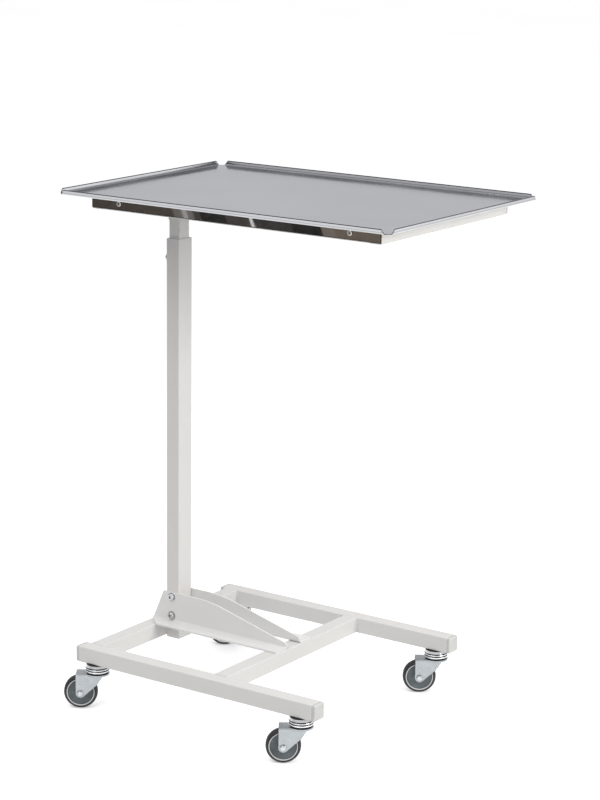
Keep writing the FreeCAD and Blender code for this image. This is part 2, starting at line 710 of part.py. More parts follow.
def fork():
    """Pressed fork: crown plate and two legs."""
    half = FORK_INNER + FORK_SHEET
    left_leg = leg_outline().extrude(vec(0, FORK_SHEET, 0))
    left_leg.translate(vec(0, FORK_INNER, 0))
    right_leg = left_leg.mirror(vec(0, 0, 0), vec(0, 1, 0))
    back_x = -TRAIL - 8.6
    crown = box(back_x, 13.0, -half, half, CROWN_BOTTOM, CROWN_TOP)
    body = crown.fuse([left_leg, right_leg]).removeSplitter()
    edges = []
    for edge in body.Edges:
        b = edge.BoundBox
        if b.ZMin > CROWN_TOP - 1e-3 and b.YLength < 1e-3 and b.XLength > 30.0:
            edges.append(edge)
    body = body.makeFillet(2.2, edges)
    disc = rod(CROWN_RADIUS, CROWN_TOP - CROWN_BOTTOM, vec(0, 0, CROWN_BOTTOM), UP)
    body = body.fuse(disc).removeSplitter()
    body = body.cut(rod(STEM_RADIUS + STEM_GAP, 20.0, vec(0, 0, CROWN_BOTTOM - 5.0), UP))
    return body.cut(rod(AXLE_RADIUS, 60.0, vec(-TRAIL, -30.0, WHEEL_RADIUS), vec(0, 1, 0)))


def axle():
    """Axle bolt with its head on the near leg and its end past the far leg."""
    half = FORK_INNER + FORK_SHEET
    head = Part.makeCylinder(6.3, 3.2)
    head = head.makeFillet(1.6, top_edges(head, 3.2))
    shank = Part.makeCylinder(AXLE_RADIUS, 2.0 * half + 6.5, vec(0, 0, -2.0 * half - 6.5))
    return aimed(head.fuse(shank).removeSplitter(), vec(-TRAIL, -half, WHEEL_RADIUS), vec(0, -1, 0))


def axle_nut():
    half = FORK_INNER + FORK_SHEET
    nut = hexagon(12.0, 5.0).cut(Part.makeCylinder(AXLE_RADIUS, 5.0))
    return aimed(nut, vec(-TRAIL, half, WHEEL_RADIUS), vec(0, 1, 0))


def wheel_part(shape):
    """Turn a shape made round Z onto the wheel axis."""
    return aimed(shape, vec(-TRAIL, 0, WHEEL_RADIUS), vec(0, -1, 0))


def centred(radius, half):
    return rod(radius, 2.0 * half, vec(0, 0, -half), UP)


def hub():
    """Wheel centre: rim with a raised lip, thin web and a core with the bore."""
    rim = centred(TYRE_INNER, TYRE_WIDTH / 2.0 - 0.5).cut(centred(TYRE_INNER - RIM_LIP, 20.0))
    web = centred(TYRE_INNER - RIM_LIP + 0.2, 4.0)
    core = centred(HUB_CORE, HUB_HALF)
    body = rim.fuse([web, core]).cut(centred(AXLE_RADIUS + AXLE_GAP, 20.0))
    return wheel_part(body.removeSplitter())


def guards():
    """Two dished discs that close the sides of the wheel inside the rim."""
    outer = TYRE_INNER - RIM_LIP
    disc = Part.makeCylinder(outer, GUARD_THICK)
    disc = disc.makeFillet(0.6, top_edges(disc, GUARD_THICK))
    disc = disc.cut(Part.makeCylinder(HUB_CORE, 6.0))
    near = disc.copy()
    near.translate(vec(0, 0, 7.0))
    far = near.mirror(vec(0, 0, 0), UP)
    return Part.makeCompound([wheel_part(near), wheel_part(far)])


def tyre():
    body = centred(WHEEL_RADIUS, TYRE_WIDTH / 2.0)
    rims = [e for e in body.Edges if abs(e.BoundBox.ZLength) < 1e-4]
    body = body.makeFillet(3.2, rims)
    return wheel_part(body.cut(centred(TYRE_INNER, 20.0)))


def at_site(shape, x, y):
    """Yaw a caster piece to the shown direction and move it under its rail."""
    moved = shape.copy()
    moved.rotate(vec(0, 0, 0), UP, YAW)
    moved.translate(vec(x, y, 0))
    return moved


def caster_nodes():
    pieces = {
        "fork": fork(),
        "race": race(),
        "axle": axle(),
        "axle_nut": axle_nut(),
        "hub": hub(),
        "guards": guards(),
        "tyre": tyre(),
    }
    nodes = {}
    stems = []
    nuts = []
    for name, x, y in caster_sites():
        for kind, shape in pieces.items():
            nodes["caster_" + name + "_" + kind] = at_site(shape, x, y)
        stems.append(at_site(stem(), x, y))
        nut = stem_nut()
        nut.translate(vec(x, y, 0))
        nuts.append(nut)
    nodes["caster_stems"] = Part.makeCompound(stems)
    nodes["caster_stem_nuts"] = Part.makeCompound(nuts)
    return nodes


def all_nodes():
    nodes = {
        "side_rail_near": side_rail(-RAIL_Y),
        "side_rail_far": side_rail(RAIL_Y),
        "cross_tube_post": cross_tube(POST_CROSS_X),
        "cross_tube_mid": cross_tube(MID_CROSS_X),
        "rail_end_caps": end_caps(),
        "gusset_near": gusset_near(),
        "gusset_far": gusset_far(),
        "post_bolts": post_bolts(),
        "post_washers": post_washers(),
        "post_nuts": post_nuts(),
        "outer_post": outer_post(),
        "post_plug": post_plug(),
        "guide_sleeve": guide_sleeve(),
        "clamp_boss": clamp_boss(),
        "clamp_screw": clamp_screw(),
        "inner_post": inner_post(),
        "post_socket": post_socket(),
        "foot_glide": foot_glide(),
        "head_plate": head_plate(),
        "head_plate_bolts": plate_bolts(),
        "head_plate_nuts": plate_nuts(),
        "frame_left_tube": frame_left_tube(),
        "frame_right_tube": frame_right_tube(),
        "frame_near_tube": frame_side_tube(-FRAME_HALF_Y + FRAME_SIZE / 2.0),
        "frame_far_tube": frame_side_tube(FRAME_HALF_Y - FRAME_SIZE / 2.0),
        "frame_bars": frame_bars(),
        "tray": tray(),
        "strip_near": strip(-1.0),
        "strip_far": strip(1.0),
        "strip_screws": strip_screws(),
    }
    nodes.update(caster_nodes())
    return nodes


def centre_shift(nodes):
    """Vector that brings the bottom centre of the whole object to the origin."""
    whole = Part.makeCompound(list(nodes.values())).optimalBoundingBox()
    return vec(-(whole.XMin + whole.XMax) / 2.0, -(whole.YMin + whole.YMax) / 2.0, -whole.ZMin)


def main():
    os.makedirs("parts", exist_ok=True)
    nodes = all_nodes()
    shift = centre_shift(nodes)
    for name, shape in nodes.items():
        shape.translate(shift)
        shape.exportStep("parts/" + name + ".step")
    print("nodes", len(nodes), "shift", shift)


if __name__ == "__main__":
    main()
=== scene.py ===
"""Looks of a wheeled overbed table: finishes, fine details, studio and camera."""

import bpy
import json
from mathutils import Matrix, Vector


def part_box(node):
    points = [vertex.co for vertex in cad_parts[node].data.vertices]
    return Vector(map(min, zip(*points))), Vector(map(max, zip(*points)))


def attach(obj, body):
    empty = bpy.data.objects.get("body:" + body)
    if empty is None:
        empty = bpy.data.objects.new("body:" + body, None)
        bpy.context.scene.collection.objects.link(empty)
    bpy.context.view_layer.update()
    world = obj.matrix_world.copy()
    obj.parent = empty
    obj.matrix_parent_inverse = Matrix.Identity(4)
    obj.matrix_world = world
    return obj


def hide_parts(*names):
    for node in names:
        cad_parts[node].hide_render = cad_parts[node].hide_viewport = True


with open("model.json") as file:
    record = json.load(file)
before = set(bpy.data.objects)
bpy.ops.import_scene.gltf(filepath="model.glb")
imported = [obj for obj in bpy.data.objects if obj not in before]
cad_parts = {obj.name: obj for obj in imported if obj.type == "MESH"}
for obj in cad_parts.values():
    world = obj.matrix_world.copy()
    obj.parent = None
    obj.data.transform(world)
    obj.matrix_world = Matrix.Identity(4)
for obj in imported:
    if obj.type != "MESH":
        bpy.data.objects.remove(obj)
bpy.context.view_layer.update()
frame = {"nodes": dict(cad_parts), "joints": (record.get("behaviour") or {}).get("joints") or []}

import json
import logging
import math
from dataclasses import dataclass, field
from enum import Enum

import bmesh
import bpy
from mathutils import Matrix, Vector

LOG = logging.getLogger("overbed_table")

Color = tuple[float, float, float]
Profile = list[tuple[float, float]]
Stops = tuple[tuple[float, Color], ...]

WHITE: Color = (1.0, 1.0, 1.0)

# Sockets of a Mix node that is set to colours
MIX_FACTOR, MIX_FIRST, MIX_SECOND, MIX_RESULT = 0, 6, 7, 2

# Where a rounded normal stops agreeing with the flat one, from edge to face
RIM_AGREEMENT = (0.94, 0.999)
RIM_SAMPLES = 6

# Half the width over which the border of a band fades, in metres
BAND_BLUR = 0.0002


class Side(Enum):
    """The two long sides of the table."""

    NEAR = "near"
    FAR = "far"


class Corner(Enum):
    """The four corners of the base, each with one caster."""

    NEAR_LEFT = "near_left"
    NEAR_RIGHT = "near_right"
    FAR_LEFT = "far_left"
    FAR_RIGHT = "far_right"


class Grain(Enum):
    """How a surface's fine relief runs."""

    EVEN = (1.0, 1.0, 1.0)
    ALONG_X = (0.04, 1.0, 1.0)
    ALONG_Z = (1.0, 1.0, 0.04)


# ---- finishes ----


class NodeTree:
    """Small helper that lays out the nodes of one tree."""

    def __init__(self, tree: bpy.types.NodeTree) -> None:
        """Work on a tree, with its texture coordinates at hand.

        Args:
            tree: Node tree of a material or of the world.
        """
        self.tree = tree
        self.coords = self.add("ShaderNodeTexCoord")

    def add(self, kind: str, **settings: object) -> bpy.types.Node:
        """Add a node and set its plain properties.

        Args:
            kind: Blender's node type name.
            settings: Properties to set on the node.

        Returns:
            The new node.
        """
        node = self.tree.nodes.new(kind)
        for key, value in settings.items():
            setattr(node, key, value)
        return node

    def join(self, source: bpy.types.NodeSocket, target: bpy.types.NodeSocket) -> None:
        """Link one socket to another."""
        self.tree.links.new(source, target)

    def spread(self, factor: bpy.types.NodeSocket, low: float, high: float,
               start: float = 0.3, end: float = 0.7) -> bpy.types.NodeSocket:
        """Map a factor to a range of plain values.

        Args:
            factor: Input between 0 and 1.
            low: Value at start.
            high: Value at end.
            start: Factor where the range begins.
            end: Factor where the range ends.

        Returns:
            The mapped value.
        """
        node = self.add("ShaderNodeMapRange")
        node.inputs["From Min"].default_value = start
        node.inputs["From Max"].default_value = end
        node.inputs["To Min"].default_value = low
        node.inputs["To Max"].default_value = high
        self.join(factor, node.inputs["Value"])
        return node.outputs["Result"]

    def ramp(self, factor: bpy.types.NodeSocket, stops: Stops) -> bpy.types.NodeSocket:
        """Run a factor through colour stops.

        Args:
            factor: Input between 0 and 1.
            stops: Position and colour of each stop, in order.

        Returns:
            The colour output.
        """
        node = self.add("ShaderNodeValToRGB")
        elements = node.color_ramp.elements
        for element, (position, color) in ((elements[0], stops[0]), (elements[1], stops[-1])):
            element.position, element.color = position, (*color, 1.0)
        for position, color in stops[1:-1]:
            elements.new(position).color = (*color, 1.0)
        self.join(factor, node.inputs["Fac"])
        return node.outputs["Color"]

    def blend(self, factor: bpy.types.NodeSocket, first: Color, second: Color,
              start: float = 0.35, end: float = 0.65) -> bpy.types.NodeSocket:
        """Colour that runs between two tones with a factor.

        Args:
            factor: Input between 0 and 1.
            first: Colour at start.
            second: Colour at end.
            start: Factor where the change begins.
            end: Factor where the change ends.

        Returns:
            The colour output.
        """
        return self.ramp(factor, ((start, first), (end, second)))

    def mixed(self, factor: bpy.types.NodeSocket, first: bpy.types.NodeSocket,
              second: bpy.types.NodeSocket | Color) -> bpy.types.NodeSocket:
        """Mix two colours.

        Args:
            factor: 0 for the first colour, 1 for the second.
            first: First colour.
            second: Second colour, as a socket or as a plain tone.

        Returns:
            The mixed colour.
        """
        mix = self.add("ShaderNodeMix", data_type="RGBA")
        self.join(factor, mix.inputs[MIX_FACTOR])
        self.join(first, mix.inputs[MIX_FIRST])
        if isinstance(second, tuple):
            mix.inputs[MIX_SECOND].default_value = (*second, 1.0)
        else:
            self.join(second, mix.inputs[MIX_SECOND])
        return mix.outputs[MIX_RESULT]

    def split(self, vector: bpy.types.NodeSocket) -> bpy.types.Node:
        """Separate a vector into its X, Y and Z."""
        node = self.add("ShaderNodeSeparateXYZ")
        self.join(vector, node.inputs["Vector"])
        return node


class NodeSheet(NodeTree):
    """Lays out the nodes of one material."""

    def __init__(self, name: str) -> None:
        """Start an empty node material with a Principled shader.

        Args:
            name: Name of the material.
        """
        self.material = bpy.data.materials.new(name)
        self.material.use_nodes = True
        super().__init__(self.material.node_tree)
        self.shader = self.tree.nodes["Principled BSDF"]

    def stretched(self, scale: tuple[float, float, float]) -> bpy.types.NodeSocket:
        """Object coordinates with their own scale on each axis.

        Args:
            scale: Scale along X, Y and Z.

        Returns:
            The vector output to feed a texture.
        """
        mapping = self.add("ShaderNodeMapping")
        mapping.inputs["Scale"].default_value = scale
        self.join(self.coords.outputs["Object"], mapping.inputs["Vector"])
        return mapping.outputs["Vector"]

    def noise(self, scale: float, detail: float = 3.0, grain: Grain = Grain.EVEN,
              roughness: float = 0.55) -> bpy.types.NodeSocket:
        """Noise in object space.

        Args:
            scale: Features per metre, roughly.
            detail: Octaves of detail.
            grain: Direction in which the pattern is drawn out.
            roughness: How strong the finer octaves are.

        Returns:
            The factor output.
        """
        texture = self.add("ShaderNodeTexNoise")
        texture.inputs["Scale"].default_value = scale
        texture.inputs["Detail"].default_value = detail
        texture.inputs["Roughness"].default_value = roughness
        self.join(self.stretched(grain.value), texture.inputs["Vector"])
        return texture.outputs["Fac"]

    def relief(self, height: bpy.types.NodeSocket, strength: float, depth: float,
               below: bpy.types.NodeSocket | None = None) -> bpy.types.NodeSocket:
        """Bump from a height, on top of another bump if one is given.

        Args:
            height: Height factor.
            strength: Strength of the bump.
            depth: Depth in metres.
            below: Normal of a coarser bump under this one.

        Returns:
            The normal output.
        """
        bump = self.add("ShaderNodeBump")
        bump.inputs["Strength"].default_value = strength
        bump.inputs["Distance"].default_value = depth
        self.join(height, bump.inputs["Height"])
        if below is not None:
            self.join(below, bump.inputs["Normal"])
        return bump.outputs["Normal"]

    def rim(self, color: bpy.types.NodeSocket, tone: Color, width: float) -> bpy.types.NodeSocket:
        """Paint light along the sharp edges of a piece: a dark tone gives painted shade, a light tone a
        painted highlight.

        Args:
            color: Colour of the faces.
            tone: Painted colour of the edges, dark for shade and light for a highlight.
            width: Reach from the edge in metres.

        Returns:
            The colour with the painted edge tone on its edges.
        """
        # Painted edge shading: where the bevel normal parts from the true normal, the edge tone is mixed in.
        soft = self.add("ShaderNodeBevel", samples=RIM_SAMPLES)
        soft.inputs["Radius"].default_value = width
        shape = self.add("ShaderNodeNewGeometry")
        agree = self.add("ShaderNodeVectorMath", operation="DOT_PRODUCT")
        self.join(soft.outputs["Normal"], agree.inputs[0])
        self.join(shape.outputs["Normal"], agree.inputs[1])
        edge = self.spread(agree.outputs["Value"], 1.0, 0.0, *RIM_AGREEMENT)
        return self.mixed(edge, color, tone)

    def band(self, color: bpy.types.NodeSocket, tone: Color, low: float, high: float,
             axis: str = "Z") -> bpy.types.NodeSocket:
        """Paint a straight band of shade across a piece.

        Args:
            color: Colour of the faces.
            tone: Colour of the painted shade.
            low: Where it begins in metres.
            high: Where it ends in metres.
            axis: Axis across the band.

        Returns:
            The colour with the painted shade band.
        """
        # Painted shade: the tone is mixed in between low and high along one axis.
        place = self.split(self.coords.outputs["Object"]).outputs[axis]
        above = self.spread(place, 0.0, 1.0, low - BAND_BLUR, low + BAND_BLUR)
        below = self.spread(place, 1.0, 0.0, high - BAND_BLUR, high + BAND_BLUR)
        inside = self.add("ShaderNodeMath", operation="MULTIPLY")
        self.join(above, inside.inputs[0])
        self.join(below, inside.inputs[1])
        return self.mixed(inside.outputs["Value"], color, tone)

    def shade(self, color: bpy.types.NodeSocket | None = None,
              roughness: bpy.types.NodeSocket | None = None,
              normal: bpy.types.NodeSocket | None = None) -> bpy.types.Material:
        """Link the finished outputs to the shader.

        Args:
            color: Base colour.
            roughness: Roughness.
            normal: Normal.

        Returns:
            The finished material.
        """
        for name, socket in (("Base Color", color), ("Roughness", roughness), ("Normal", normal)):
            if socket is not None:
                self.join(socket, self.shader.inputs[name])
        return self.material


@dataclass(frozen=True)
class Finish:
    """Common part of every finish: a named Principled material."""

    name: str
    tone: Color
    tone_low: Color
    roughness: float
    roughness_low: float

    def sheet(self) -> NodeSheet:
        """Start the material's node sheet."""
        return NodeSheet(self.name)

    def make(self) -> bpy.types.Material:
        """Build the material; each finish gives its own nodes."""
        raise NotImplementedError


@dataclass(frozen=True)
class PowderCoat(Finish):
    """Sprayed off-white coat: faint orange peel, slight mottling, thin grime."""

    name: str = "powder_coat"
    tone: Color = (0.700, 0.690, 0.672)
    tone_low: Color = (0.668, 0.658, 0.640)
    roughness: float = 0.46
    roughness_low: float = 0.34
    peel_per_metre: float = 620.0

    def make(self) -> bpy.types.Material:
        """Build the coat with two scales of relief.

        Returns:
            The material.
        """
        s = self.sheet()
        cloud = s.noise(7.0, 4.0)
        peel = s.noise(self.peel_per_metre, 2.0)
        wave = s.noise(85.0, 2.0)
        coarse = s.relief(wave, 0.10, 0.0006)
        fine = s.relief(peel, 0.12, 0.0003, coarse)
        color = s.blend(cloud, self.tone_low, self.tone, 0.22, 0.62)
        gloss = s.spread(cloud, self.roughness_low, self.roughness)
        s.shader.inputs["Specular IOR Level"].default_value = 0.5
        s.shader.inputs["Coat Weight"].default_value = 0.12
        s.shader.inputs["Coat Roughness"].default_value = 0.25
        return s.shade(color, gloss, fine)


@dataclass(frozen=True)
class PolishedSheet(Finish):
    """Glossy stainless sheet: hairline scratches, soft smears, slight waviness; painted shade along its sharp
    edges and on its folded lips.
    """

    name: str = "polished_sheet"
    tone: Color = (0.66, 0.665, 0.69)
    tone_low: Color = (0.60, 0.605, 0.63)
    roughness: float = 0.20
    roughness_low: float = 0.11
    painted_shading_tone: Color = (0.035, 0.036, 0.045)
    # Painted shade on the lips: (height within the tray, share of the dark tone) stops.
    lip_painted_shades: tuple[tuple[float, float], ...] = (
        (0.14, 0.0), (0.24, 0.26), (0.355, 0.26), (0.375, 0.60), (0.43, 0.60), (0.45, 0.20), (0.83, 0.20),
        (0.86, 0.94), (1.0, 0.94),
    )
    painted_edge_width: float = 0.0026
    grain: Grain = Grain.ALONG_X

    def make(self) -> bpy.types.Material:
        """Build the sheet metal.

        Returns:
            The material.
        """
        s = self.sheet()
        smear = s.noise(5.0, 5.0)
        hair = s.noise(2600.0, 2.0, self.grain)
        wave = s.noise(3.2, 1.0)
        bump = s.relief(hair, 0.05, 0.0001, s.relief(wave, 0.05, 0.002))
        s.shader.inputs["Metallic"].default_value = 1.0
        s.shader.inputs["Anisotropic"].default_value = 0.25
        # Painted shade along the sheet's sharp edges.
        color = s.rim(s.blend(smear, self.tone_low, self.tone, 0.3, 0.7), self.painted_shading_tone, self.painted_edge_width)
        # Painted shade on the folded lips.
        color = self.lips(s, color)
        gloss = s.spread(smear, self.roughness_low, self.roughness)
        return s.shade(color, gloss, bump)

    def lips(self, s: NodeSheet, color: bpy.types.NodeSocket) -> bpy.types.NodeSocket:
        """Paint shade on the folded lips in steps by height, darkest along their cut edge.

        Args:
            s: Node sheet of the material.
            color: Colour of the flat sheet.

        Returns:
            The colour with painted shade on the lips.
        """
        low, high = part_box("tray")
        place = s.split(s.coords.outputs["Object"]).outputs["Z"]
        height = s.spread(place, 0.0, 1.0, low.z, high.z)
        stops = tuple((position, (shade, shade, shade)) for position, shade in self.lip_painted_shades)
        return s.mixed(s.ramp(height, stops), color, self.painted_shading_tone)


@dataclass(frozen=True)
class MirrorStrip(Finish):
    """Mirror-bright trim strip with a little waviness and handling marks; painted shade along its sharp edges
    and across both ends.
    """

    name: str = "mirror_strip"
    tone: Color = (0.60, 0.585, 0.565)
    tone_low: Color = (0.50, 0.488, 0.470)
    roughness: float = 0.022
    roughness_low: float = 0.010
    painted_shading_tone: Color = (0.02, 0.018, 0.016)
    painted_edge_width: float = 0.0026
    # Painted shade across the strip's ends: its colour and where each end lies along X.
    end_shade_tone: Color = (0.02, 0.02, 0.022)
    ends: tuple[tuple[float, float], ...] = ()

    def make(self) -> bpy.types.Material:
        """Build the strip metal.

        Returns:
            The material.
        """
        s = self.sheet()
        smear = s.noise(22.0, 5.0)
        wave = s.noise(6.0, 1.0)
        bump = s.relief(wave, 0.012, 0.002)
        s.shader.inputs["Metallic"].default_value = 1.0
        # Painted shade along the strip's sharp edges.
        color = s.rim(s.blend(smear, self.tone_low, self.tone), self.painted_shading_tone, self.painted_edge_width)
        # Painted shade: a dark band across each end of the strip.
        for low, high in self.ends:
            color = s.band(color, self.end_shade_tone, low, high, "X")
        gloss = s.spread(smear, self.roughness_low, self.roughness)
        return s.shade(color, gloss, bump)


@dataclass(frozen=True)
class ZincPressing(Finish):
    """Bright zinc on pressed steel: cloudy sheen and drawing marks, with painted shade along the sharp edges.
    """

    name: str = "zinc_pressing"
    tone: Color = (0.44, 0.468, 0.486)
    tone_low: Color = (0.37, 0.395, 0.412)
    painted_shading_tone: Color = (0.12, 0.13, 0.14)
    painted_edge_width: float = 0.0009
    roughness: float = 0.36
    roughness_low: float = 0.22

    def make(self) -> bpy.types.Material:
        """Build the plated surface.

        Returns:
            The material.
        """
        s = self.sheet()
        cloud = s.noise(90.0, 5.0)
        draw = s.noise(1500.0, 3.0, Grain.ALONG_Z)
        cells = s.add("ShaderNodeTexVoronoi")
        cells.inputs["Scale"].default_value = 520.0
        s.join(s.coords.outputs["Object"], cells.inputs["Vector"])
        bump = s.relief(draw, 0.10, 0.0001, s.relief(cells.outputs["Distance"], 0.05, 0.0003))
        s.shader.inputs["Metallic"].default_value = 0.92
        # Painted shade along the sharp edges.
        color = s.rim(s.blend(cloud, self.tone_low, self.tone, 0.3, 0.7), self.painted_shading_tone, self.painted_edge_width)
        gloss = s.spread(cloud, self.roughness_low, self.roughness)
        return s.shade(color, gloss, bump)


@dataclass(frozen=True)
class BrightPlate(Finish):
    """Bright chrome on turned rings and screw heads, with painted shade along the sharp edges and in the
    given bands.
    """

    name: str = "bright_plate"
    tone: Color = (0.82, 0.83, 0.85)
    tone_low: Color = (0.66, 0.67, 0.69)
    roughness: float = 0.16
    roughness_low: float = 0.06
    marks_per_metre: float = 3000.0
    painted_shading_tone: Color = (0.05, 0.05, 0.055)
    painted_edge_width: float = 0.0009
    metallic: float = 1.0
    bands: tuple[tuple[float, float], ...] = ()
    across: str = "Z"

    def make(self) -> bpy.types.Material:
        """Build the plated surface.

        Returns:
            The material.
        """
        s = self.sheet()
        cloud = s.noise(160.0, 4.0)
        turned = s.noise(self.marks_per_metre, 2.0, Grain.ALONG_Z)
        s.shader.inputs["Metallic"].default_value = self.metallic
        # Painted shade along the sharp edges, then across each given band.
        color = s.rim(s.blend(cloud, self.tone_low, self.tone), self.painted_shading_tone, self.painted_edge_width)
        for low, high in self.bands:
            color = s.band(color, self.painted_shading_tone, low, high, self.across)
        gloss = s.spread(cloud, self.roughness_low, self.roughness)
        return s.shade(color, gloss, s.relief(turned, 0.05, 0.0001))


@dataclass(frozen=True)
class MouldedPlastic(Finish):
    """Moulded plastic with a fine spark-eroded grain and faint flow marks."""

    name: str = "moulded_plastic"
    tone: Color = (0.66, 0.66, 0.645)
    tone_low: Color = (0.58, 0.58, 0.565)
    roughness: float = 0.52
    roughness_low: float = 0.40
    grain_per_metre: float = 2200.0
    relief_strength: float = 0.18
    painted_shading_tone: Color | None = None
    painted_edge_width: float = 0.0016

    def make(self) -> bpy.types.Material:
        """Build the plastic.

        Returns:
            The material.
        """
        s = self.sheet()
        flow = s.noise(45.0, 4.0)
        grain = s.noise(self.grain_per_metre, 2.0)
        s.shader.inputs["Specular IOR Level"].default_value = 0.45
        color = s.blend(flow, self.tone_low, self.tone, 0.3, 0.7)
        # Painted shading along the sharp edges: a dark edge tone paints shade, a light one a highlight.
        if self.painted_shading_tone is not None:
            color = s.rim(color, self.painted_shading_tone, self.painted_edge_width)
        gloss = s.spread(flow, self.roughness_low, self.roughness)
        return s.shade(color, gloss, s.relief(grain, self.relief_strength, 0.0002))


@dataclass(frozen=True)
class TyreRubber(Finish):
    """Soft black rubber: dusty tread, matt cheeks."""

    name: str = "tyre_rubber"
    tone: Color = (0.021, 0.022, 0.024)
    tone_low: Color = (0.009, 0.0095, 0.0105)
    roughness: float = 0.72
    roughness_low: float = 0.46

    def make(self) -> bpy.types.Material:
        """Build the rubber.

        Returns:
            The material.
        """
        s = self.sheet()
        dust = s.noise(60.0, 6.0, roughness=0.7)
        pores = s.noise(1700.0, 3.0)
        color = s.blend(dust, self.tone_low, self.tone, 0.35, 0.75)
        gloss = s.spread(dust, self.roughness_low, self.roughness)
        return s.shade(color, gloss, s.relief(pores, 0.2, 0.0002))


@dataclass(frozen=True)
class StudioFloor(Finish):
    """Plain pale floor that glows a little, with the faintest mottling."""

    name: str = "studio_floor"
    glow: float = 0.30
    tone: Color = (0.96, 0.96, 0.96)
    tone_low: Color = (0.945, 0.945, 0.945)
    roughness: float = 0.9
    roughness_low: float = 0.8

    def make(self) -> bpy.types.Material:
        """Build the floor.

        Returns:
            The material.
        """
        s = self.sheet()
        cloud = s.noise(0.8, 3.0)
        s.shader.inputs["Specular IOR Level"].default_value = 0.1
        s.shader.inputs["Emission Color"].default_value = (*WHITE, 1.0)
        s.shader.inputs["Emission Strength"].default_value = self.glow
        color = s.blend(cloud, self.tone_low, self.tone)
        return s.shade(color, s.spread(cloud, self.roughness_low, self.roughness))


class Finishes:
    """Every finish of the table, made once."""

    # Outer reach of each screw head that keeps its tone; deeper in, the heads get painted shade.
    head_unshaded_reach: float = 0.0009
    # Half width of the painted shade across each end of the strip.
    strip_end_shade_half: float = 0.0004

    def __init__(self) -> None:
        """Build all materials."""
        heads_low, heads_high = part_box("strip_screws")
        strip_low, strip_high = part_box("strip_near")
        cut = self.strip_end_shade_half
        self.coat = PowderCoat().make()
        self.sheet = PolishedSheet().make()
        # The strip gets painted shade along its sharp edges and across both ends.
        self.strip = MirrorStrip(
            ends=((strip_low.x - cut, strip_low.x + cut), (strip_high.x - cut, strip_high.x + cut))
        ).make()
        # Painted shade along the forks' sharp edges.
        self.zinc = ZincPressing().make()
        # Painted shade in the rolled rings' groove and the gap above them, and along their sharp edges.
        self.race = BrightPlate(
            name="race_plate", tone=(0.90, 0.91, 0.92), tone_low=(0.80, 0.81, 0.82),
            painted_shading_tone=(0.015, 0.015, 0.018), metallic=0.8, bands=((0.0680, 0.0706), (0.0747, 0.0764)),
        ).make()
        # Painted shade in the grooves and gaps of the stems' cups, and along their sharp edges.
        self.cup = BrightPlate(
            name="cup_plate", tone=(0.92, 0.93, 0.94), tone_low=(0.82, 0.83, 0.84),
            painted_shading_tone=(0.015, 0.015, 0.018), metallic=0.45, bands=((0.0798, 0.0814), (0.0857, 0.0872)),
        ).make()
        # Painted shade along the axles' sharp edges, over a wider reach.
        self.axle = ZincPressing(
            name="axle_zinc", tone=(0.66, 0.68, 0.70), tone_low=(0.50, 0.52, 0.54),
            painted_shading_tone=(0.03, 0.035, 0.04), painted_edge_width=0.0030,
        ).make()
        # The bolts keep the zinc's painted shade along their sharp edges.
        self.bolt = ZincPressing(
            name="bolt_zinc", tone=(0.70, 0.71, 0.72), tone_low=(0.46, 0.47, 0.48),
        ).make()
        # Painted shade on the screw heads: dark sharp edges and a dark stripe over the flank and recess, with
        # only the outermost dome top left bright.
        self.screw = BrightPlate(
            name="screw_plate", tone=(0.86, 0.84, 0.81), tone_low=(0.62, 0.60, 0.57), metallic=0.6,
            painted_shading_tone=(0.03, 0.03, 0.03), painted_edge_width=0.0007, across="Y",
            bands=((heads_low.y + self.head_unshaded_reach, heads_high.y - self.head_unshaded_reach),),
        ).make()
        # Painted highlight: a light tone along the caps' sharp edges.
        self.cap = MouldedPlastic(
            name="cap_plastic", tone=(0.60, 0.60, 0.585), tone_low=(0.54, 0.54, 0.525),
            painted_shading_tone=(0.86, 0.86, 0.85), painted_edge_width=0.0024,
        ).make()
        # Painted light: a lighter copy of the coat for the gussets, making up for the shade that falls on
        # them.
        self.gusset_lit_coat = PowderCoat(
            name="gusset_coat_painted_light", tone=(0.765, 0.758, 0.748), tone_low=(0.735, 0.728, 0.718)
        ).make()
        self.rim = MouldedPlastic(
            name="rim_plastic", tone=(0.72, 0.73, 0.74), tone_low=(0.62, 0.63, 0.64), roughness=0.42
        ).make()
        # Painted shade: darker sharp edges on the wheel guards.
        self.cover = MouldedPlastic(
            name="cover_plastic", tone=(0.125, 0.148, 0.156), tone_low=(0.058, 0.070, 0.076),
            roughness=0.46, roughness_low=0.34, painted_shading_tone=(0.030, 0.036, 0.040), painted_edge_width=0.0022,
        ).make()
        self.rubber = TyreRubber().make()


# ---- shared making ----


